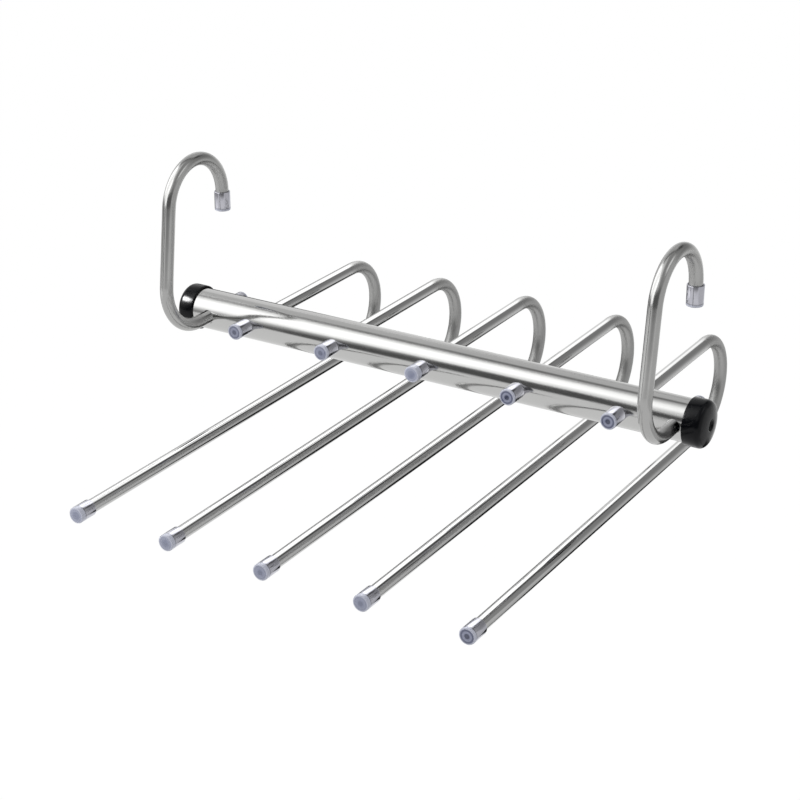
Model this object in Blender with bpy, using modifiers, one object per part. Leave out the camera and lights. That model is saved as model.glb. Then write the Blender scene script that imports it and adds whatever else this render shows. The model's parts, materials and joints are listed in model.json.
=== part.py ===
"""Trouser hanger: a steel tube that hangs on two hooks, with five bent bars that slide and swing in it.

The origin is where the crooks rest on a closet rod, above the middle bar. X runs along the tube,
-Y points to the free ends of the bars, and +Z points up.
"""

import math

import bmesh
import bpy

MM = 0.001

# The main tube
TUBE_DIAMETER = 25 * MM
TUBE_WALL = 1.0 * MM

# The thin tube that the bars and the hooks are bent from
ROD_DIAMETER = 8 * MM
ROD_WALL = 1.2 * MM

# The bars, measured from the tube's axis
BAR_COUNT = 5
BAR_PITCH = 63 * MM
BAR_LEG_SPACING = 57.5 * MM
BAR_BEND_BACK = 107.5 * MM
BAR_REACH = 179 * MM

# The hooks, each in a plane across the tube
LEFT_HOOK_FROM_BAR = 29.3 * MM
RIGHT_HOOK_FROM_BAR = 33.1 * MM
HOOK_RISE = 76.6 * MM
CROOK_FORWARD = 18.8 * MM
CROOK_RADIUS = 26.5 * MM
CROOK_TIP_DROP = 10.7 * MM
SHANK_LEAN = math.radians(7.3)
FOOT_RADIUS = 29 * MM

# The soft caps on the ends of the bars and hooks
CAP_LENGTH = 12 * MM
CAP_WALL = 0.75 * MM
CAP_FLOOR = 1.2 * MM
CAP_EDGE = 0.7 * MM

# The black caps on the ends of the main tube
END_CAP_GRIP = 9.5 * MM
END_CAP_WALL = 1.1 * MM
END_CAP_FLOOR = 1.5 * MM
END_CAP_EDGE = 2.0 * MM
END_CAP_CROWN = 0.8 * MM
DIMPLE_DIAMETER = 5.0 * MM
DIMPLE_DEPTH = 0.9 * MM
LEFT_CAP_TO_HOOK = 7.6 * MM
RIGHT_CAP_TO_HOOK = 0.9 * MM

# Clearances
HOLE_CLEARANCE = 0.3 * MM
CAP_CLEARANCE = 0.15 * MM
END_CAP_CLEARANCE = 0.2 * MM
SEAT_GAP = 0.3 * MM

# Facets
BEND_STEP = math.radians(11.5)
ROD_BEVEL_RESOLUTION = 4
TUBE_SIDES = 48
HOLE_SIDES = 24
CAP_SIDES = 16
END_CAP_SIDES = 40
EDGE_STEPS = 3
CROWN_STEPS = 3
MERGE_DISTANCE = 0.01 * MM
SMOOTH_ANGLE = math.radians(40)

# Sizes that follow from those above
TUBE_RADIUS = TUBE_DIAMETER / 2
ROD_RADIUS = ROD_DIAMETER / 2
HOLE_RADIUS = ROD_RADIUS + HOLE_CLEARANCE
CAP_BORE = ROD_RADIUS + CAP_CLEARANCE
CAP_RADIUS = CAP_BORE + CAP_WALL
END_CAP_BORE = TUBE_RADIUS + END_CAP_CLEARANCE
END_CAP_RADIUS = END_CAP_BORE + END_CAP_WALL
BAR_PLACES = [BAR_PITCH * (n - (BAR_COUNT - 1) / 2) for n in range(BAR_COUNT)]
LEFT_HOOK_PLACE = BAR_PLACES[0] - LEFT_HOOK_FROM_BAR
RIGHT_HOOK_PLACE = BAR_PLACES[-1] + RIGHT_HOOK_FROM_BAR
TUBE_LEFT_END = LEFT_HOOK_PLACE - HOLE_RADIUS - LEFT_CAP_TO_HOOK - END_CAP_GRIP
TUBE_RIGHT_END = RIGHT_HOOK_PLACE + HOLE_RADIUS + RIGHT_CAP_TO_HOOK + END_CAP_GRIP
STOP_FACE = TUBE_RADIUS + SEAT_GAP + CAP_LENGTH
CAP_DEPTH = CAP_FLOOR + SEAT_GAP

# The caps' closed ends point along these turns of +Z
TO_FRONT = (math.pi / 2, 0, 0)
TO_BACK = (-math.pi / 2, 0, 0)
DOWNWARDS = (math.pi, 0, 0)
TO_LEFT = (0, -math.pi / 2, 0)
TO_RIGHT = (0, math.pi / 2, 0)


def clear_scene():
    for old in list(bpy.data.objects):
        bpy.data.objects.remove(old, do_unlink=True)


def add_collection(name):
    collection = bpy.data.collections.new(name)
    bpy.context.scene.collection.children.link(collection)
    return collection


def add_material(name, colour, metallic, roughness, alpha=1.0):
    material = bpy.data.materials.new(name)
    material.use_nodes = True
    shader = material.node_tree.nodes["Principled BSDF"]
    shader.inputs["Base Color"].default_value = (*colour, 1.0)
    shader.inputs["Metallic"].default_value = metallic
    shader.inputs["Roughness"].default_value = roughness
    shader.inputs["Alpha"].default_value = alpha
    return material


def add_object(name, data, collection, parent=None, place=(0, 0, 0), turn=(0, 0, 0)):
    made = bpy.data.objects.new(name, data)
    collection.objects.link(made)
    made.parent = parent
    made.location = place
    made.rotation_euler = turn
    return made


def arc(centre, radius, start, end):
    """Points of an arc in the Y-Z plane, both ends included. Angles run from +Y towards +Z."""
    steps = max(2, math.ceil(abs(end - start) / BEND_STEP))
    points = []
    for n in range(steps + 1):
        angle = start + (end - start) * n / steps
        points.append((centre[0] + radius * math.cos(angle), centre[1] + radius * math.sin(angle)))
    return points


def bar_route():
    """The centre line of a bar: short leg through the tube, half-round bend behind it, long leg below."""
    bend_radius = BAR_LEG_SPACING / 2
    route = [(CAP_DEPTH - STOP_FACE, 0)]
    route += arc((BAR_BEND_BACK, -bend_radius), bend_radius, math.pi / 2, -math.pi / 2)
    route.append((CAP_DEPTH - BAR_REACH, -BAR_LEG_SPACING))
    return route


def hook_route():
    """The centre line of a hook: tail through the tube, foot bend, leaning shank, crook and straight tip."""
    crook_centre = (-CROOK_FORWARD, HOOK_RISE)
    shank_top_angle = math.pi - SHANK_LEAN
    shank_top = (
        crook_centre[0] + CROOK_RADIUS * math.cos(shank_top_angle),
        crook_centre[1] + CROOK_RADIUS * math.sin(shank_top_angle),
    )
    shank_foot_height = FOOT_RADIUS * (1 + math.sin(SHANK_LEAN))
    shank_foot = shank_top[0] - (shank_top[1] - shank_foot_height) * math.tan(SHANK_LEAN)
    foot_centre = (shank_foot + FOOT_RADIUS * math.cos(SHANK_LEAN), FOOT_RADIUS)
    route = [(STOP_FACE - CAP_DEPTH, 0)]
    route += arc(foot_centre, FOOT_RADIUS, -math.pi / 2, -math.pi - SHANK_LEAN)
    route += arc(crook_centre, CROOK_RADIUS, shank_top_angle, 0)
    route.append((crook_centre[0] + CROOK_RADIUS, HOOK_RISE - CROOK_TIP_DROP))
    return route


def add_bent_rod(name, route, material, collection, parent, place):
    """A thin tube with open ends along a route in the Y-Z plane."""
    curve = bpy.data.curves.new(name, "CURVE")
    curve.dimensions = "3D"
    curve.bevel_depth = ROD_RADIUS
    curve.bevel_resolution = ROD_BEVEL_RESOLUTION
    spline = curve.splines.new("POLY")
    spline.points.add(len(route) - 1)
    for point, (y, z) in zip(spline.points, route):
        point.co = (0, y, z, 1)
    spline.use_smooth = True
    curve.materials.append(material)
    rod = add_object(name, curve, collection, parent, place)
    shell = rod.modifiers.new("wall", "SOLIDIFY")
    shell.thickness = ROD_WALL
    shell.offset = -1
    shell.use_even_offset = True
    return rod


def add_turned(name, profile, sides, material, collection, parent, place, turn):
    """A solid turned about its own Z axis from a profile of (radius, height) points."""
    mesh = bpy.data.meshes.new(name)
    shape = bmesh.new()
    corners = [shape.verts.new((radius, 0, height)) for radius, height in profile]
    for first, second in zip(corners, corners[1:]):
        shape.edges.new((first, second))
    shape.to_mesh(mesh)
    shape.free()
    mesh.materials.append(material)
    turned = add_object(name, mesh, collection, parent, place, turn)
    screw = turned.modifiers.new("turn", "SCREW")
    screw.steps = sides
    screw.render_steps = sides
    screw.use_merge_vertices = True
    screw.merge_threshold = MERGE_DISTANCE
    return turned


def rounded_corner(radius, top, edge):
    """Profile points of a quarter-round outer edge, from the end face down to the side."""
    points = []
    for n in range(EDGE_STEPS + 1):
        angle = math.pi / 2 * (1 - n / EDGE_STEPS)
        points.append((radius - edge + edge * math.cos(angle), top - edge + edge * math.sin(angle)))
    return points


def cap_profile():
    """A soft cap with its outer end face at height 0 and its open rim below."""
    profile = [(0, 0)]
    profile += rounded_corner(CAP_RADIUS, 0, min(CAP_EDGE, CAP_WALL))
    profile.append((CAP_RADIUS, -CAP_LENGTH))
    profile.append((CAP_BORE, -CAP_LENGTH))
    profile.append((CAP_BORE, -CAP_FLOOR))
    profile.append((0, -CAP_FLOOR))
    return profile


def end_cap_profile():
    """A tube end cap with the tube's end at height 0, a crowned end face and a dimple at its middle."""
    top = SEAT_GAP + END_CAP_FLOOR
    face_radius = END_CAP_RADIUS - END_CAP_EDGE
    dimple_radius = DIMPLE_DIAMETER / 2
    profile = [(0, top + END_CAP_CROWN - DIMPLE_DEPTH)]
    profile.append((dimple_radius, top + END_CAP_CROWN - DIMPLE_DEPTH))
    for n in range(CROWN_STEPS):
        share = n / CROWN_STEPS
        radius = dimple_radius + (face_radius - dimple_radius) * share
        profile.append((radius, top + END_CAP_CROWN * (1 - share * share)))
    profile += rounded_corner(END_CAP_RADIUS, top, END_CAP_EDGE)
    profile.append((END_CAP_RADIUS, -END_CAP_GRIP))
    profile.append((END_CAP_BORE, -END_CAP_GRIP))
    profile.append((END_CAP_BORE, SEAT_GAP))
    profile.append((0, SEAT_GAP))
    return profile


def cylinder_mesh(name, radius, length, sides, closed):
    mesh = bpy.data.meshes.new(name)
    shape = bmesh.new()
    bmesh.ops.create_cone(
        shape, cap_ends=closed, segments=sides, radius1=radius, radius2=radius, depth=length
    )
    shape.to_mesh(mesh)
    shape.free()
    return mesh


def add_main_tube(material, collection, cutters, parent):
    """The main tube, drilled right through for each bar and each hook."""
    length = TUBE_RIGHT_END - TUBE_LEFT_END
    middle = (TUBE_LEFT_END + TUBE_RIGHT_END) / 2
    mesh = cylinder_mesh("main_tube", TUBE_RADIUS, length, TUBE_SIDES, closed=False)
    mesh.materials.append(material)
    tube = add_object("main_tube", mesh, collection, parent, (middle, 0, 0), TO_RIGHT)
    shell = tube.modifiers.new("wall", "SOLIDIFY")
    shell.thickness = TUBE_WALL
    shell.offset = -1
    shell.use_even_offset = True
    drill_mesh = cylinder_mesh("drill", HOLE_RADIUS, 2 * TUBE_DIAMETER, HOLE_SIDES, closed=True)
    for place in [LEFT_HOOK_PLACE, *BAR_PLACES, RIGHT_HOOK_PLACE]:
        drill = add_object("drill", drill_mesh, cutters, parent, (place, 0, 0), TO_FRONT)
        drill.hide_render = True
        drill.display_type = "WIRE"
        hole = tube.modifiers.new("hole", "BOOLEAN")
        hole.operation = "DIFFERENCE"
        hole.solver = "EXACT"
        hole.object = drill
    return tube


def shade_round(collection):
    for made in collection.objects:
        if made.type == "MESH":
            made.data.shade_smooth()
            if made.data.polygons:
                made.data.set_sharp_from_angle(angle=SMOOTH_ANGLE)


def build_hanger():
    clear_scene()
    parts = add_collection("trouser_hanger")
    cutters = add_collection("cutters")
    polished = add_material("polished_steel", (0.66, 0.66, 0.65), 1.0, 0.12)
    satin = add_material("satin_steel", (0.56, 0.56, 0.55), 1.0, 0.28)
    black = add_material("black_plastic", (0.012, 0.012, 0.014), 0.0, 0.2)
    clear = add_material("clear_plastic", (0.72, 0.72, 0.80), 0.0, 0.15, 0.45)

    # The tube's axis lies below and behind the place where the crooks rest on the rod
    axis = add_object("tube_axis", None, parts)
    axis.location = (0, CROOK_FORWARD, -(HOOK_RISE + CROOK_RADIUS - ROD_RADIUS))

    add_main_tube(polished, parts, cutters, axis)
    end_profile = end_cap_profile()
    for side, place, turn in (("left", TUBE_LEFT_END, TO_LEFT), ("right", TUBE_RIGHT_END, TO_RIGHT)):
        name = f"{side}_end_cap"
        add_turned(name, end_profile, END_CAP_SIDES, black, parts, axis, (place, 0, 0), turn)

    small_profile = cap_profile()

    def add_cap(name, parent, place, turn):
        add_turned(name, small_profile, CAP_SIDES, clear, parts, parent, place, turn)

    tip_place = (0, CROOK_RADIUS - CROOK_FORWARD, HOOK_RISE - CROOK_TIP_DROP - CAP_DEPTH)
    for side, place in (("left", LEFT_HOOK_PLACE), ("right", RIGHT_HOOK_PLACE)):
        hook = add_bent_rod(f"{side}_hook", hook_route(), satin, parts, axis, (place, 0, 0))
        add_cap(f"{side}_hook_tip_cap", hook, tip_place, DOWNWARDS)
        add_cap(f"{side}_hook_tail_cap", hook, (0, STOP_FACE, 0), TO_BACK)

    for number, place in enumerate(BAR_PLACES, start=1):
        bar = add_bent_rod(f"bar_{number}", bar_route(), satin, parts, axis, (place, 0, 0))
        add_cap(f"bar_{number}_stop_cap", bar, (0, -STOP_FACE, 0), TO_FRONT)
        add_cap(f"bar_{number}_tip_cap", bar, (0, -BAR_REACH, -BAR_LEG_SPACING), TO_FRONT)

    shade_round(parts)


build_hanger()
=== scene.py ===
import json
import math

import bmesh
import bpy
from mathutils import Matrix, Quaternion, Vector


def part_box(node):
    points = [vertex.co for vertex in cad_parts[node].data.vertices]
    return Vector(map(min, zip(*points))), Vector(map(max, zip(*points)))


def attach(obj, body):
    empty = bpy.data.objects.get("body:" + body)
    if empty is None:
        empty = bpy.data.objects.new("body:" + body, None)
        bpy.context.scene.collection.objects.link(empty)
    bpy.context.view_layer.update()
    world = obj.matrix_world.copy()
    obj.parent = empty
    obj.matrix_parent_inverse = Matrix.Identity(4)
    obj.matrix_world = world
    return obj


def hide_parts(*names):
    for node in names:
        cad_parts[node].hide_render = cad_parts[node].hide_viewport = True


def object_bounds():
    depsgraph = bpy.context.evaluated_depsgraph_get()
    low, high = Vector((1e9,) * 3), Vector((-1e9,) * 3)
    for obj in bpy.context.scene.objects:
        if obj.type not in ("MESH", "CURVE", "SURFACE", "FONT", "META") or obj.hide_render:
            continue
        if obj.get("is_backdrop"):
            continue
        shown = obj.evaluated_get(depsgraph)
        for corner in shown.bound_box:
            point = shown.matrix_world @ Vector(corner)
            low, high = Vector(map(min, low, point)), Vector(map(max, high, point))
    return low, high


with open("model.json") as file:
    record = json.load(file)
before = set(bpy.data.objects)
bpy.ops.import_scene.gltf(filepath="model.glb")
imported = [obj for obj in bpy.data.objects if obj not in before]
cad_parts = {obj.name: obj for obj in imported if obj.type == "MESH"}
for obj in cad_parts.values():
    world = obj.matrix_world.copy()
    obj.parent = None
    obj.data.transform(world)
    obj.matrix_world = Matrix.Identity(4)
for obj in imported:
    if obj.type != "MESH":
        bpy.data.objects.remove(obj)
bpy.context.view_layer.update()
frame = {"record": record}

mm = 0.001
weldWithin = 0.001 * mm  # points closer than this become one
scene = bpy.context.scene
nodeBody = {}
for body, members in frame["record"]["behaviour"]["bodies"].items():
    nodeBody.update({node: body for node in members})

tubeLow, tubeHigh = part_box("main_tube")
axisY = (tubeLow.y + tubeHigh.y) / 2  # the tube's axis runs along X at this Y and Z
axisZ = (tubeLow.z + tubeHigh.z) / 2
tubeRadius = (tubeHigh.z - tubeLow.z) / 2
barLow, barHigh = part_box("bar_1")
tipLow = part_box("bar_1_tip_cap")[0]
rodRadius = (barHigh.x - barLow.x) / 2
capDepth = barLow.y - tipLow.y  # from a cap's closed face to the end of the rod in it


def linear(code):
    # sRGB hex to linear, with full alpha
    parts = [int(code[n:n + 2], 16) / 255 for n in (1, 3, 5)]
    return [p / 12.92 if p <= 0.04045 else ((p + 0.055) / 1.055) ** 2.4 for p in parts] + [1.0]


white = linear("#ffffff")


def addNode(tree, kind, settings=None, **sockets):
    # a socket is given by name, with _ for a space, or as inN
    # it takes a value or another node's output
    made = tree.nodes.new(kind)
    for name, value in (settings or {}).items():
        setattr(made, name, value)
    for name, value in sockets.items():
        numbered = name.startswith("in") and name[2:].isdigit()
        socket = made.inputs[int(name[2:]) if numbered else name.replace("_", " ")]
        if isinstance(value, bpy.types.NodeSocket):
            tree.links.new(value, socket)
        else:
            socket.default_value = value
    return made


def newMaterial(name):
    material = bpy.data.materials.new(name)
    material.use_nodes = True
    material.node_tree.nodes.clear()
    return material, material.node_tree


def attribute(tree, name, output):
    return addNode(tree, "ShaderNodeAttribute", {"attribute_name": name}).outputs[output]


def noise(tree, place, scale, detail, grain=0.5):
    # scale is per metre, with a number for each axis where the pattern is drawn out along one
    if isinstance(scale, tuple):
        place = addNode(tree, "ShaderNodeMapping", Vector=place, Scale=scale).outputs[0]
        scale = 1.0
    made = addNode(
        tree, "ShaderNodeTexNoise", Vector=place, Scale=scale, Detail=detail, Roughness=grain)
    return made.outputs["Fac"]


def spread(tree, value, span, onto):
    # carries the span onto another range and stops at its ends
    made = addNode(
        tree, "ShaderNodeMapRange", Value=value,
        in1=span[0], in2=span[1], in3=onto[0], in4=onto[1])
    return made.outputs[0]


def reckon(tree, operation, *values):
    sockets = {f"in{n}": value for n, value in enumerate(values)}
    return addNode(tree, "ShaderNodeMath", {"operation": operation}, **sockets).outputs[0]


def blend(tree, factor, first, second):
    # from one colour to another, each a hex value or another node's output
    first, second = [linear(c) if isinstance(c, str) else c for c in (first, second)]
    made = addNode(
        tree, "ShaderNodeMix", {"data_type": "RGBA"}, Factor=factor, in6=first, in7=second)
    return made.outputs[2]


def relief(tree, height, depthMm, strength=1.0, **sockets):
    made = addNode(
        tree, "ShaderNodeBump", Height=height, Strength=strength, Distance=depthMm * mm, **sockets)
    return made.outputs[0]


def addRamp(tree, value, stops):
    made = addNode(tree, "ShaderNodeValToRGB", Fac=value)
    ramp = made.color_ramp.elements
    while len(ramp) < len(stops):
        ramp.new(1.0)
    for element, (spot, colour) in zip(ramp, stops):
        element.position = spot
        element.color = linear(colour)
    return made.outputs["Color"]


def addShader(tree, **sockets):
    shader = addNode(tree, "ShaderNodeBsdfPrincipled", **sockets)
    addNode(tree, "ShaderNodeOutputMaterial", Surface=shader.outputs[0])


def polishedStainless(look):
    # welded stainless tube, polished along its length: long clean bands that waver a little
    # where the wall is not quite true, faint polishing lines, and a few duller smudges
    material, tree = newMaterial("polishedStainless")
    place = addNode(tree, "ShaderNodeTexCoord").outputs["Object"]
    line = 1 / (look["lineMm"] * mm)
    lines = noise(tree, place, (line * look["lineStretch"], line, line), look["lineDetail"])
    wave = 1 / (look["waveMm"] * mm)
    waves = noise(tree, place, (1 / (look["waveLongMm"] * mm), wave, wave), look["waveDetail"])
    smudge = noise(
        tree, place, 1 / (look["smudgeMm"] * mm), look["smudgeDetail"], look["smudgeGrain"])
    gloss = spread(tree, lines, look["lineSpan"], (look["roughLow"], look["roughHigh"]))
    dull = spread(tree, smudge, look["smudgeSpan"], (0.0, look["smudgeDulls"]))
    wavy = relief(tree, waves, look["waveDepthMm"])
    lined = relief(tree, lines, look["lineDepthMm"], look["lineBump"], Normal=wavy)
    addShader(
        tree, Base_Color=blend(tree, smudge, look["colour"], look["dullColour"]), Metallic=1.0,
        Roughness=reckon(tree, "ADD", gloss, dull), Normal=lined)
    return material


def satinStainless(name, look):
    # thin stainless tube, drawn and buffed: softer bands than the main tube, drawing lines that
    # follow every bend, and a matter skin where the bending has stretched it
    material, tree = newMaterial(name)
    place = attribute(tree, "straight", "Vector")
    strain = attribute(tree, "strain", "Fac")
    line = 1 / (look["lineMm"] * mm)
    lines = noise(tree, place, (line, line, line * look["lineStretch"]), look["lineDetail"])
    cloud = noise(tree, place, 1 / (look["cloudMm"] * mm), look["cloudDetail"])
    gloss = spread(tree, lines, look["lineSpan"], (look["roughLow"], look["roughHigh"]))
    dull = spread(tree, cloud, look["cloudSpan"], (0.0, look["cloudDulls"]))
    height = addNode(tree, "ShaderNodeSeparateXYZ", Vector=place).outputs["Y"]
    bendSpan = [side * mm for side in look["bendSpanMm"]]
    bent = spread(tree, height, bendSpan, (look["bendDulls"], look["insideDulls"]))
    clouded = blend(tree, cloud, look["colour"], look["dullColour"])
    addShader(
        tree, Base_Color=blend(tree, strain, clouded, look["bendColour"]), Metallic=1.0,
        Roughness=reckon(tree, "MULTIPLY_ADD", strain, bent, reckon(tree, "ADD", gloss, dull)),
        Normal=relief(tree, cloud, look["cloudDepthMm"]))
    return material


def blackPolythene(look):
    # moulded polythene: near black with a soft gloss, a fine mould grain and slightly worn,
    # duller patches
    material, tree = newMaterial("blackPolythene")
    place = addNode(tree, "ShaderNodeTexCoord").outputs["Object"]
    grain = noise(tree, place, 1 / (look["grainMm"] * mm), look["grainDetail"])
    worn = noise(tree, place, 1 / (look["wornMm"] * mm), look["wornDetail"], look["wornGrain"])
    addShader(
        tree, Base_Color=blend(tree, worn, look["colour"], look["wornColour"]),
        Roughness=spread(tree, worn, look["wornSpan"], (look["roughLow"], look["roughHigh"])),
        IOR=look["ior"], Specular_IOR_Level=look["specular"],
        Normal=relief(tree, grain, look["grainDepthMm"], look["grainBump"]))
    return material


def clearVinyl(look):
    # dip-moulded clear vinyl, drawn tight over the rod: along the rod it is a glossy coat with
    # the bright steel showing through it, and past the rod's end it is pale lavender, with the
    # rod's rim and bore as rings in it, painted: painted shade in the bore and round the rolled
    # rim, a painted highlight at the cap's outer rim, and a painted dark line for the rod's
    # rolled end where it shows through the wall
    material, tree = newMaterial("clearVinyl")
    place = attribute(tree, "capPlace", "Vector")
    rodNear = attribute(tree, "rodNear", "Fac")
    cloud = noise(tree, place, 1 / (look["cloudMm"] * mm), look["cloudDetail"])
    past = addNode(tree, "ShaderNodeSeparateXYZ", Vector=place).outputs["Z"]
    flat = addNode(
        tree, "ShaderNodeVectorMath", {"operation": "MULTIPLY"}, in0=place, in1=(1, 1, 0))
    away = addNode(
        tree, "ShaderNodeVectorMath", {"operation": "LENGTH"}, in0=flat.outputs[0])
    share = spread(tree, away.outputs["Value"], (0.0, look["outerMm"] * mm), (0.0, 1.0))
    # painted shade and painted highlight as rings on the closed end, by distance from the axis
    clearRings = addRamp(tree, share, look["clearRings"])
    rodRings = addRamp(tree, share, look["rodRings"])
    freeEnd = blend(tree, rodNear, clearRings, rodRings)
    clouded = blend(tree, cloud, look["steelColour"], look["cloudColour"])
    # painted shade: a dark line on the steel just behind the rod's end, for the rolled end seen
    # through the vinyl
    paintedRollShade = spread(tree, past, (-look["rollShadeMm"] * mm, 0.0), (0.0, look["rollShadeDarkens"]))
    steel = blend(tree, paintedRollShade, clouded, look["rollShadeColour"])
    overRod = spread(tree, past, [edge * mm for edge in look["rodEdgeMm"]], (0.0, 1.0))
    addShader(
        tree, Base_Color=blend(tree, overRod, freeEnd, steel),
        Metallic=reckon(tree, "MULTIPLY", overRod, look["steelShows"]),
        Roughness=spread(tree, cloud, look["cloudSpan"], (look["roughLow"], look["roughHigh"])),
        IOR=look["ior"], Normal=relief(tree, cloud, look["waveDepthMm"], look["waveBump"]),
        Coat_Weight=look["coat"], Coat_Roughness=look["coatRoughness"],
        Coat_Tint=linear(look["coatTint"]))
    return material


# a Span is the part of a pattern's values over which the look changes
tubeSteel = polishedStainless({
    "colour": "#bcbcbb", "dullColour": "#b9b9b8", "roughLow": 0.09, "roughHigh": 0.13,
    "lineMm": 1.4, "lineStretch": 0.02,  # drawn coarse to show: real lines are about 0.05 mm
    "lineBump": 0.10, "lineDepthMm": 0.02, "lineDetail": 2.0, "lineSpan": (0.3, 0.7),
    "waveMm": 16.0, "waveLongMm": 42.0, "waveDepthMm": 0.16, "waveDetail": 1.0,
    "smudgeMm": 22.0, "smudgeDulls": 0.05, "smudgeDetail": 4.0, "smudgeGrain": 0.55,
    "smudgeSpan": (0.45, 0.72),
})
drawnTube = {  # what bars and hooks share
    "lineMm": 1.2, "lineStretch": 0.015,  # drawn coarse to show: real lines are about 0.05 mm
    "lineDetail": 2.0, "lineSpan": (0.3, 0.7),
    "cloudMm": 14.0, "cloudDepthMm": 0.02, "cloudDetail": 3.0, "cloudSpan": (0.4, 0.7),
    "bendSpanMm": (1.0, -3.0),  # from the rod's axis towards the outside and inside of a bend
}
barSteel = satinStainless("drawnStainless", {
    **drawnTube, "cloudDulls": 0.03,
    "colour": "#bababa", "dullColour": "#b7b7b6", "roughLow": 0.05, "roughHigh": 0.08,
    "bendColour": "#a0a09f", "bendDulls": 0.34, "insideDulls": 0.34,
})
hookSteel = satinStainless("satinStainless", {
    **drawnTube, "cloudDulls": 0.05,
    "colour": "#aeaead", "dullColour": "#aaaaa9", "roughLow": 0.11, "roughHigh": 0.15,
    "bendColour": "#a6a6a5", "bendDulls": 0.04, "insideDulls": 0.24,
})
capBlack = blackPolythene({
    "colour": "#05060a", "wornColour": "#080a0f", "roughLow": 0.14, "roughHigh": 0.20,
    "ior": 1.51, "specular": 0.15,
    "grainMm": 0.5, "grainBump": 0.05, "grainDepthMm": 0.02, "grainDetail": 2.0,
    "wornMm": 6.0, "wornDetail": 4.0, "wornGrain": 0.6, "wornSpan": (0.35, 0.7),
})
capVinyl = clearVinyl({
    "outerMm": 4.9,
    # share of the cap's radius and colour, with the rod's end far behind and close behind;
    # the dark rings are painted shade in the bore and at the rolled rim, the palest a painted
    # highlight
    "clearRings": (
        (0.0, "#9a9fb5"), (0.48, "#a2a7bc"), (0.58, "#bcc0d0"), (0.74, "#b4b8cb"),
        (0.88, "#dfe1ec")),
    "rodRings": (
        (0.26, "#454a63"), (0.36, "#9ca0b6"), (0.54, "#a4a8bd"), (0.64, "#5c617c"),
        (0.76, "#666b87"), (0.88, "#dfe1ec")),
    "steelColour": "#c3c2c5", "cloudColour": "#bab9be", "steelShows": 0.94,
    "rodEdgeMm": (0.15, -0.1),  # past the rod's end, from no steel to steel
    # painted shade behind the rod's rolled end: its width, colour and strength
    "rollShadeMm": 0.7, "rollShadeColour": "#2c2d33", "rollShadeDarkens": 0.75,
    "ior": 1.5, "coat": 0.6, "coatTint": "#ebedf6", "coatRoughness": 0.06,
    "roughLow": 0.10, "roughHigh": 0.14, "waveBump": 0.03, "waveDepthMm": 0.05,
    "cloudMm": 3.0, "cloudDetail": 2.0, "cloudSpan": (0.35, 0.7),
})
print("materials ready")

# boxes of light that reach some pieces alone, with the word in the names of those nodes
ownLight = {"barBox": "bar_", "hookBox": "hook", "plugBox": "end_cap"}
litBy = {box: bpy.data.collections.new(f"{box}Lights") for box in ownLight}


def placeMesh(name, shape):
    mesh = bpy.data.meshes.new(name)
    shape.to_mesh(mesh)
    shape.free()
    placed = bpy.data.objects.new(name, mesh)
    scene.collection.objects.link(placed)
    return placed


def finishPiece(name, shape, material, node, sharpDeg=35):
    bmesh.ops.remove_doubles(shape, verts=shape.verts, dist=weldWithin)
    bmesh.ops.recalc_face_normals(shape, faces=shape.faces)
    piece = placeMesh(name, shape)
    piece.data.materials.append(material)
    piece.data.shade_smooth()
    piece.data.set_sharp_from_angle(angle=math.radians(sharpDeg))
    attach(piece, nodeBody[node])
    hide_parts(node)
    for box, word in ownLight.items():
        if word in node:
            litBy[box].objects.link(piece)
    return piece


def pick(items, kind):
    return [item for item in items if isinstance(item, kind)]


rod = {
    "sides": 56,
    "bendStepDeg": 2.5,
    "ringStep": 12.0 * mm,
    "strainFade": 7.0 * mm,  # how far the matter skin of a bend reaches into the straight rod
    "beforeBend": -0.5,  # radians back from a bend's start that still count as before it
    "nearerBy": 1e-7,  # metres by which a later stretch has to lie nearer to a point
    # the cut end, rolled in over the bore: mm back from the end, share of the rod's radius
    "endRoll": (
        (0.62, 1.0), (0.37, 0.983), (0.17, 0.938), (0.04, 0.863), (0.0, 0.75), (0.07, 0.65),
        (0.32, 0.588), (1.0, 0.575), (9.6, 0.70)),
}
rollLength = rod["endRoll"][0][0] * mm


def pushRing(shape, edges):
    made = bmesh.ops.extrude_edge_only(shape, edges=edges)["geom"]
    ring = pick(made, bmesh.types.BMVert)
    pushed = pick(made, bmesh.types.BMEdge)
    return ring, [edge for edge in pushed if all(v in ring for v in edge.verts)]


def rollEnd(shape, edges, outward):
    # edges is the ring where the roll starts
    reached, size = rod["endRoll"][0]
    for back, share in rod["endRoll"][1:]:
        ring, edges = pushRing(shape, edges)
        bmesh.ops.translate(shape, verts=ring, vec=outward * (reached - back) * mm)
        middle = sum((v.co for v in ring), Vector()) / len(ring)
        bmesh.ops.scale(
            shape, verts=ring, vec=[share / size] * 3, space=Matrix.Translation(-middle))
        reached, size = back, share
    bmesh.ops.edgeloop_fill(shape, edges=edges)


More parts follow.
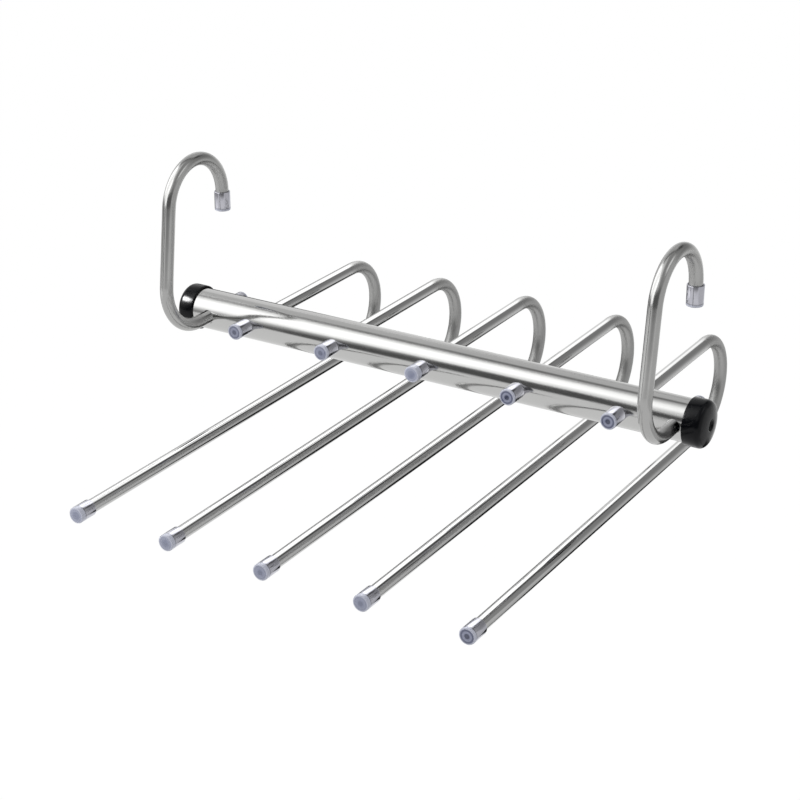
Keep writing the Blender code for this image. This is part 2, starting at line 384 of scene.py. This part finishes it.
def bendRod(name, end, heading, route, node, material):
    # from its cut end the rod goes by what a tube bender is told:
    # ("run", length) or ("bend", radius, degrees about +X)
    shape = bmesh.new()
    way = Vector(heading)
    place = Vector(end) + way * rollLength
    turn = way.to_track_quat("Z", "X").to_matrix().to_4x4()
    bmesh.ops.create_circle(
        shape, cap_ends=False, segments=rod["sides"], radius=rodRadius,
        matrix=Matrix.Translation(place) @ turn)
    edges = shape.edges[:]
    rollEnd(shape, edges, -way)
    run = 0.0
    stretches = []
    for step in route:
        if step[0] == "run":
            length = step[1]
            fade = min(rod["strainFade"], length / 4)
            middle = math.ceil((length - 2 * fade) / rod["ringStep"])
            for part in [fade] + [(length - 2 * fade) / middle] * middle + [fade]:
                ring, edges = pushRing(shape, edges)
                bmesh.ops.translate(shape, verts=ring, vec=way * part)
            stretches.append({
                "from": place.copy(), "way": way.copy(), "length": length, "run": run})
            place = place + way * length
        else:
            radius, degrees = step[1], step[2]
            inward = Matrix.Rotation(math.copysign(math.pi / 2, degrees), 3, "X") @ way
            centre = place + inward * radius
            made = bmesh.ops.spin(
                shape, geom=edges, cent=centre, axis=(1, 0, 0), angle=math.radians(degrees),
                steps=math.ceil(abs(degrees) / rod["bendStepDeg"]), use_duplicate=False)
            edges = pick(made["geom_last"], bmesh.types.BMEdge)
            length = radius * math.radians(abs(degrees))
            stretches.append({
                "centre": centre, "first": place - centre, "degrees": degrees, "radius": radius,
                "length": length, "run": run})
            spun = Matrix.Rotation(math.radians(degrees), 3, "X")
            place = centre + spun @ (place - centre)
            way = spun @ way
        run += length
    rollEnd(shape, edges, way)
    layStraight(shape, stretches, end[0])
    return finishPiece(name, shape, material, node)


def layStraight(shape, stretches, middleX):
    # where each point would lie if the rod were straightened (across, across, along), and how
    # far it was bent
    laid = shape.verts.layers.float_vector.new("straight")
    strained = shape.verts.layers.float.new("strain")
    bends = [
        (part["run"], part["run"] + part["length"]) for part in stretches if "centre" in part]
    for vert in shape.verts:
        best = None
        for n, part in enumerate(stretches):
            if "way" in part:
                offset = vert.co - part["from"]
                along = offset.dot(part["way"])
                height = offset.dot(Vector((1, 0, 0)).cross(part["way"]))
                if n > 0:
                    along = max(along, 0.0)
                if n < len(stretches) - 1:
                    along = min(along, part["length"])
                miss = (offset - part["way"] * along - Vector((offset.x, 0, 0))).length
            else:
                offset = vert.co - part["centre"]
                first, sense = part["first"], math.copysign(1, part["degrees"])
                flat = Vector((0, offset.y, offset.z))
                angle = sense * math.atan2(first.cross(flat).x, first.dot(flat))
                angle = angle if angle > rod["beforeBend"] else angle + 2 * math.pi
                angle = min(max(angle, 0.0), math.radians(abs(part["degrees"])))
                along = angle * part["radius"]
                height = (part["radius"] - flat.length) * sense
                miss = (flat - Matrix.Rotation(sense * angle, 3, "X") @ first).length
            if best is None or miss < best[0] - rod["nearerBy"]:
                best = (miss, vert.co.x - middleX, height, part["run"] + along)
        vert[laid] = best[1:]
        away = min(max(start - best[3], best[3] - stop, 0.0) for start, stop in bends)
        vert[strained] = max(0.0, 1 - away / rod["strainFade"])


bars = {
    "count": 5,
    # mm that each rod stays short of its full depth in its caps, as pushed on by hand
    "stopShort": (0.3, 0.7, 2.8, 0.0, 0.0),
    "tipShort": (1.5, 1.3, 1.0, 1.0, 0.0),
}
for number in range(1, bars["count"] + 1):
    low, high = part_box(f"bar_{number}")
    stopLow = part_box(f"bar_{number}_stop_cap")[0]
    bendRadius = (axisZ - rodRadius - low.z) / 2
    bendY = high.y - rodRadius - bendRadius
    stopEnd = stopLow.y + capDepth + bars["stopShort"][number - 1] * mm
    tipEnd = low.y + bars["tipShort"][number - 1] * mm
    route = (
        ("run", bendY - stopEnd - rollLength),
        ("bend", bendRadius, -180),
        ("run", bendY - tipEnd - rollLength))
    bendRod(
        f"bar{number}Rod", ((low.x + high.x) / 2, stopEnd, axisZ), (0, 1, 0), route,
        f"bar_{number}", barSteel)
print("bars bent")

hooks = {
    "crookRadius": 26.5 * mm,
    "footRadius": 29.0 * mm,
    "leanDeg": 7.3,  # the shank leans back by this much from its foot to the crook
}


def bendHook(side):
    crook, foot, leanDeg = hooks["crookRadius"], hooks["footRadius"], hooks["leanDeg"]
    lean = math.radians(leanDeg)
    low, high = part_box(f"{side}_hook")
    crookZ = rodRadius - crook  # the crook's inside rests on the closet rod at the origin
    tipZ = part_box(f"{side}_hook_tip_cap")[0].z + capDepth
    shankTop = crookZ + crook * math.sin(lean)
    shankFoot = axisZ + foot * (1 + math.sin(lean))
    rise = shankTop - shankFoot
    footY = foot * math.cos(lean) - crook * math.cos(lean) - rise * math.tan(lean)
    route = (
        ("run", high.y - footY - rollLength),
        ("bend", foot, -90 - leanDeg),
        ("run", rise / math.cos(lean)),
        ("bend", crook, leanDeg - 180),
        ("run", crookZ - tipZ - rollLength))
    bendRod(
        f"{side}HookRod", ((low.x + high.x) / 2, high.y, axisZ), (0, -1, 0), route,
        f"{side}_hook", hookSteel)


for side in ("left", "right"):
    bendHook(side)
print("hooks bent")

tube = {
    "wall": 1.0 * mm,
    "sides": 192,
    "holeClearance": 0.3 * mm,
    "holeSides": 72,
    "drillReach": 3,  # length of the drill as a multiple of the tube's radius
}


def drillTube():
    shape = bmesh.new()
    toX = Matrix.Translation((tubeLow.x, axisY, axisZ)) @ Matrix.Rotation(math.pi / 2, 4, "Y")
    bmesh.ops.create_circle(
        shape, cap_ends=True, segments=tube["sides"], radius=tubeRadius, matrix=toX)
    middle = shape.faces[:]
    bmesh.ops.inset_region(
        shape, faces=middle, thickness=tube["wall"], use_boundary=True, use_even_offset=True)
    bmesh.ops.delete(shape, geom=middle, context="FACES_ONLY")
    made = bmesh.ops.extrude_face_region(shape, geom=shape.faces[:])["geom"]
    length = tubeHigh.x - tubeLow.x
    bmesh.ops.translate(shape, verts=pick(made, bmesh.types.BMVert), vec=(length, 0, 0))
    bmesh.ops.recalc_face_normals(shape, faces=shape.faces)
    blank = placeMesh("tubeBlank", shape)

    cutter = bmesh.new()
    hole = rodRadius + tube["holeClearance"]
    toY = Matrix.Rotation(math.pi / 2, 4, "X")
    for node in [f"bar_{n}" for n in range(1, bars["count"] + 1)] + ["left_hook", "right_hook"]:
        low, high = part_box(node)
        bmesh.ops.create_cone(
            cutter, cap_ends=True, segments=tube["holeSides"], radius1=hole, radius2=hole,
            depth=tube["drillReach"] * tubeRadius,
            matrix=Matrix.Translation(((low.x + high.x) / 2, axisY, axisZ)) @ toY)
    drill = placeMesh("drill", cutter)

    cut = blank.modifiers.new("drill", "BOOLEAN")
    cut.operation = "DIFFERENCE"
    cut.solver = "EXACT"
    cut.object = drill
    drilled = bmesh.new()
    drilled.from_object(blank, bpy.context.evaluated_depsgraph_get())
    for used in (blank, drill):
        bpy.data.objects.remove(used)
    return drilled


mainTube = finishPiece("mainTube", drillTube(), tubeSteel, "main_tube")
mainTube.visible_glossy = False  # the bars' bright stripes run on past it
print("tube drilled")

rimWithin = 0.01 * mm  # how near to a rim an edge has to lie to belong to it


def turnProfile(profile, sides):
    # profile is (radius, height) in mm, turned about Z
    shape = bmesh.new()
    corners = [shape.verts.new((r * mm, 0, h * mm)) for r, h in profile]
    for first, second in zip(corners, corners[1:]):
        shape.edges.new((first, second))
    bmesh.ops.spin(
        shape, geom=shape.verts[:] + shape.edges[:], cent=(0, 0, 0), axis=(0, 0, 1),
        angle=2 * math.pi, steps=sides, use_merge=True, use_duplicate=False)
    bmesh.ops.remove_doubles(shape, verts=shape.verts, dist=weldWithin)
    bmesh.ops.recalc_face_normals(shape, faces=shape.faces)
    return shape


def roundRim(shape, radius, height, size, steps):
    # rounds the edge ring at that radius and height
    rim = []
    for edge in shape.edges:
        radii = [abs(math.hypot(v.co.x, v.co.y) - radius * mm) for v in edge.verts]
        heights = [abs(v.co.z - height * mm) for v in edge.verts]
        if max(radii + heights) < rimWithin:
            rim.append(edge)
    bmesh.ops.bevel(
        shape, geom=rim, offset=size * mm, segments=steps, profile=0.5, affect="EDGES",
        material=-1)


vinylCap = {
    "boreClearance": 0.15,  # mm, and so are the rest
    "seatGap": 0.3,
    "tipRound": (0.7, 5),  # size and steps
    "mouthRound": (0.25, 3),
    "boreRound": (0.2, 2),
    "floorRound": (0.3, 3),
    "rodFades": 1.5,  # a rod this much short no longer shows its rim and bore in the end
    "sides": 56,
}


def vinylSleeve(radius, length, short):
    # short is how far, in mm, the rod stays short of its full depth in the cap
    size = vinylCap
    bore = rodRadius / mm + size["boreClearance"]
    floor = capDepth / mm - size["seatGap"]
    profile = (
        (0, 0), (radius, 0), (radius, -length), (bore, -length), (bore, -floor), (0, -floor))
    shape = turnProfile(profile, size["sides"])
    roundRim(shape, radius, 0, *size["tipRound"])
    roundRim(shape, radius, -length, *size["mouthRound"])
    roundRim(shape, bore, -length, *size["boreRound"])
    roundRim(shape, bore, -floor, *size["floorRound"])
    # across, across, and along from the rod's end
    place = shape.verts.layers.float_vector.new("capPlace")
    near = shape.verts.layers.float.new("rodNear")
    for vert in shape.verts:
        vert[place] = vert.co + Vector((0, 0, capDepth + short * mm))
        vert[near] = max(0.0, 1 - short / size["rodFades"])
    return shape


def placeCap(name, node, outward, short):
    # the closed end goes to the side of the node's box that outward points to
    low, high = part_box(node)
    seat = Vector(outward)
    length = abs((high - low).dot(seat))
    shape = vinylSleeve((high.x - low.x) / 2 / mm, length / mm, short)
    turn = seat.to_track_quat("Z", "Y").to_matrix().to_4x4()
    end = (low + high) / 2 + seat * length / 2
    bmesh.ops.transform(shape, matrix=Matrix.Translation(end) @ turn, verts=shape.verts)
    return finishPiece(name, shape, capVinyl, node)


for number in range(1, bars["count"] + 1):
    stopShort, tipShort = bars["stopShort"][number - 1], bars["tipShort"][number - 1]
    placeCap(f"bar{number}StopSleeve", f"bar_{number}_stop_cap", (0, -1, 0), stopShort)
    placeCap(f"bar{number}TipSleeve", f"bar_{number}_tip_cap", (0, -1, 0), tipShort)
for side in ("left", "right"):
    placeCap(f"{side}HookTipSleeve", f"{side}_hook_tip_cap", (0, 0, -1), 0.0)
    placeCap(f"{side}HookTailSleeve", f"{side}_hook_tail_cap", (0, 1, 0), 0.0)
print("vinyl sleeves on")

blackCap = {
    "boreClearance": 0.2,  # mm, and so are the rest
    "seatGap": 0.3,
    "top": 2.6,  # from the tube's end to the rim of the dimple
    "edgeRound": 3.5,
    "faceLeanDeg": 16,  # how far the domed face leans where the rounded edge takes over
    "curveSteps": 10,
    "mouthRound": (0.35, 4),  # size and steps
    "dimpleRadius": 3.2,
    "dimpleDepth": 1.2,
    "dimpleRound": 0.5,
    "dimpleSteps": 3,
    "pitShare": 0.8,  # the rounding at the dimple's floor, as a share of the one at its rim
    "sides": 128,
    "sharpDeg": 40,
}


def domedCap(radius, length):
    size = blackCap
    bore = tubeRadius / mm + size["boreClearance"]
    top, edge, steps = size["top"], size["edgeRound"], size["curveSteps"]
    mouth = top - length
    lean = math.radians(size["faceLeanDeg"])
    face = radius - edge * (1 - math.sin(lean))
    dimple, pit = size["dimpleRadius"], top - size["dimpleDepth"]
    soft, softSteps = size["dimpleRound"], size["dimpleSteps"]
    crown = math.tan(lean) * (face - dimple) / 2
    profile = [(0, pit), (dimple - soft, pit), (dimple, top)]
    for n in range(1, steps + 1):
        share = n / steps
        profile.append((dimple + (face - dimple) * share, top - crown * share ** 2))
    for n in range(1, steps + 1):
        angle = lean + (math.pi / 2 - lean) * n / steps
        drop = edge * (math.cos(lean) - math.cos(angle))
        profile.append((radius - edge * (1 - math.sin(angle)), top - crown - drop))
    profile += [(radius, mouth), (bore, mouth), (bore, size["seatGap"]), (0, size["seatGap"])]
    shape = turnProfile(profile, size["sides"])
    roundRim(shape, radius, mouth, *size["mouthRound"])
    roundRim(shape, dimple, top, soft, softSteps)
    roundRim(shape, dimple - soft, pit, soft * size["pitShare"], softSteps)
    return shape


for side, way in (("left", -1), ("right", 1)):
    low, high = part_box(f"{side}_end_cap")
    shape = domedCap((high.z - low.z) / 2 / mm, (high.x - low.x) / mm)
    end = Matrix.Translation((tubeLow.x if way < 0 else tubeHigh.x, axisY, axisZ))
    turn = Matrix.Rotation(way * math.pi / 2, 4, "Y")
    bmesh.ops.transform(shape, matrix=end @ turn, verts=shape.verts)
    finishPiece(
        f"{side}EndPlug", shape, capBlack, f"{side}_end_cap",
        sharpDeg=blackCap["sharpDeg"])
print("end plugs on")

stage = {
    "middle": Vector((0.0, 0.0, -0.1)),
    "floorZ": -0.85,
    "floorSize": 24.0,
    "floorGrey": 0.8,  # for the light that the floor sends back up
    "floorGlow": 0.97,  # what it gives the eye by itself; the rest is light and shadow on it
    "ambient": 0.5,
}

# boxes of light and grey cards round the object, which the camera does not see:
# degrees right of the front and above the horizon, metres away, metres wide and high,
# brightness, the soft share of each edge, degrees of roll
cards = {
    "keyBox": (-54.5, 29, 1.2, 3.82, 1.18, 2.2, 0.39, 81),
    "plugBox": (-54, 33, 1.15, 0.55, 0.46, 130.0, 0.45, 0),
    "barBox": (216, 44, 1.3, 3.12, 1.50, 2.1, 0.46, 18),
    "hookBox": (-54, 35, 1.3, 2.30, 1.95, 2.4, 0.15, 0),
    "leftCard": (-151.5, 55.5, 1.4, 1.72, 1.26, 0.75, 0.18, 12),
    "lineCard": (-159, 67, 1.3, 3.69, 0.43, 0.16, 0.49, 8),
    "frontCard": (-29.5, 11.5, 1.7, 1.73, 0.82, 0.12, 0.20, 53),
    "frontRightCard": (24, 13, 1.5, 3.07, 1.36, 0.18, 0.23, -2),
    "rightCard": (109.5, -3.5, 1.6, 4.49, 2.60, 0.77, 0.28, 15),
    "rearRightCard": (158.5, 20.5, 1.5, 4.50, 2.11, 0.33, 0.48, 27),
    "upperRightCard": (100, 54.5, 1.7, 4.08, 2.09, 0.49, 0.04, 17),
    "underCard": (192, -71, 0.95, 1.23, 2.12, 0.80, 0.29, -8),
    "lowLeftCard": (-66.5, -0.5, 1.1, 1.41, 0.65, 0.25, 0.44, 3),
    "lowRightCard": (135, -41.5, 1.1, 1.40, 0.88, 0.66, 0.23, 32),
    "edgeCard": (171, -43, 1.05, 1.25, 0.58, 0.02, 0.20, 0),
    "rimCard": (222, -6, 1.20, 0.48, 0.58, 0.10, 0.25, 0),
    "hookRimCard": (243, -14, 1.10, 0.72, 0.46, 0.02, 0.25, 0),
    "stripeCard": (158, 38, 1.10, 0.40, 0.36, 0.12, 0.15, 0),
    "rearBand": (102, 43, 1.20, 0.97, 0.46, 1.5, 0.35, 0),
}
lamps = ("keyBox",)  # the others only show in the gloss of the pieces


def seenWhite(tree):
    # 1 for the camera, and for what metal and plastic mirror of the background
    path = addNode(tree, "ShaderNodeLightPath").outputs
    first = reckon(tree, "MAXIMUM", path["Is Camera Ray"], path["Is Glossy Ray"])
    return reckon(tree, "MAXIMUM", first, path["Is Transmission Ray"])


def either(tree, factor, first, second):
    made = addNode(
        tree, "ShaderNodeMixShader", in0=factor, in1=first.outputs[0], in2=second.outputs[0])
    return made.outputs[0]


def both(tree, first, second):
    return addNode(tree, "ShaderNodeAddShader", in0=first.outputs[0], in1=second.outputs[0])


def paintWorld():
    world = bpy.data.worlds.new("studio")
    scene.world = world
    world.use_nodes = True
    tree = world.node_tree
    tree.nodes.clear()
    soft = addNode(tree, "ShaderNodeBackground", Color=white, Strength=stage["ambient"])
    seen = addNode(tree, "ShaderNodeBackground", Color=white, Strength=1.0)
    addNode(tree, "ShaderNodeOutputWorld", Surface=either(tree, seenWhite(tree), soft, seen))


def layFloor():
    shape = bmesh.new()
    bmesh.ops.create_grid(shape, x_segments=1, y_segments=1, size=stage["floorSize"] / 2)
    floor = placeMesh("floor", shape)
    floor.location = (0, 0, stage["floorZ"])
    material, tree = newMaterial("whiteFloor")
    grey, rest = stage["floorGrey"], (1 - stage["floorGlow"]) / stage["ambient"]
    plain = addNode(tree, "ShaderNodeBsdfDiffuse", Color=(grey, grey, grey, 1))
    shade = addNode(tree, "ShaderNodeBsdfDiffuse", Color=(rest, rest, rest, 1))
    glow = addNode(tree, "ShaderNodeEmission", Color=white, Strength=stage["floorGlow"])
    surface = either(tree, seenWhite(tree), plain, both(tree, shade, glow))
    addNode(tree, "ShaderNodeOutputMaterial", Surface=surface)
    floor.data.materials.append(material)
    floor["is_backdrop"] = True


def hangCard(name, azimuth, elevation, distance, width, height, brightness, softEdge, roll):
    a, e = math.radians(azimuth), math.radians(elevation)
    away = Vector((math.sin(a) * math.cos(e), -math.cos(a) * math.cos(e), math.sin(e)))
    shape = bmesh.new()
    bmesh.ops.create_grid(shape, x_segments=1, y_segments=1, size=0.5)
    bmesh.ops.scale(shape, verts=shape.verts, vec=(width, height, 1))
    card = placeMesh(name, shape)
    card.location = stage["middle"] + away * distance
    upright = away.to_track_quat("Z", "Y")
    card.rotation_euler = (upright @ Quaternion((0, 0, 1), math.radians(roll))).to_euler()
    card.visible_camera = False
    if name not in lamps:
        card.visible_shadow = card.visible_diffuse = card.visible_transmission = False
    material, tree = newMaterial(name)
    place = addNode(tree, "ShaderNodeTexCoord").outputs["Object"]
    sides = addNode(tree, "ShaderNodeSeparateXYZ", Vector=place).outputs
    fades = []
    for axis, size in (("X", width), ("Y", height)):
        fades.append(addNode(
            tree, "ShaderNodeMapRange", {"interpolation_type": "SMOOTHSTEP"},
            Value=reckon(tree, "ABSOLUTE", sides[axis]),
            in1=size / 2, in2=size / 2 * (1 - 2 * softEdge), in3=0.0, in4=1.0).outputs[0])
    cover = reckon(tree, "MULTIPLY", *fades)
    clear = addNode(tree, "ShaderNodeBsdfTransparent")
    if name in ownLight:  # only adds to what its own pieces mirror, and the tube keeps its bands
        strength = reckon(tree, "MULTIPLY", cover, brightness)
        glow = addNode(tree, "ShaderNodeEmission", Color=white, Strength=strength)
        surface = both(tree, clear, glow).outputs[0]
        card.light_linking.receiver_collection = litBy[name]
    else:
        glow = addNode(tree, "ShaderNodeEmission", Color=white, Strength=brightness)
        surface = either(tree, cover, clear, glow)
    addNode(tree, "ShaderNodeOutputMaterial", Surface=surface)
    card.data.materials.append(material)
    card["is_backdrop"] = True


paintWorld()
layFloor()
for name, card in cards.items():
    hangCard(name, *card)
print("studio lit")

camera = {
    "place": (0.538259, -0.895481, 0.346081),
    "turnDeg": (66.081197, 0.085369, 31.494082),
    "lens": 87.9336,
    "sensor": 36,
}
lens = bpy.data.cameras.new("camera")
lens.lens = camera["lens"]
lens.sensor_width = camera["sensor"]
cameraObject = bpy.data.objects.new("camera", lens)
cameraObject.location = camera["place"]
cameraObject.rotation_euler = [math.radians(d) for d in camera["turnDeg"]]
scene.collection.objects.link(cameraObject)
scene.camera = cameraObject
scene.view_settings.view_transform = "Standard"
print("camera set")

low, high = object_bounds()
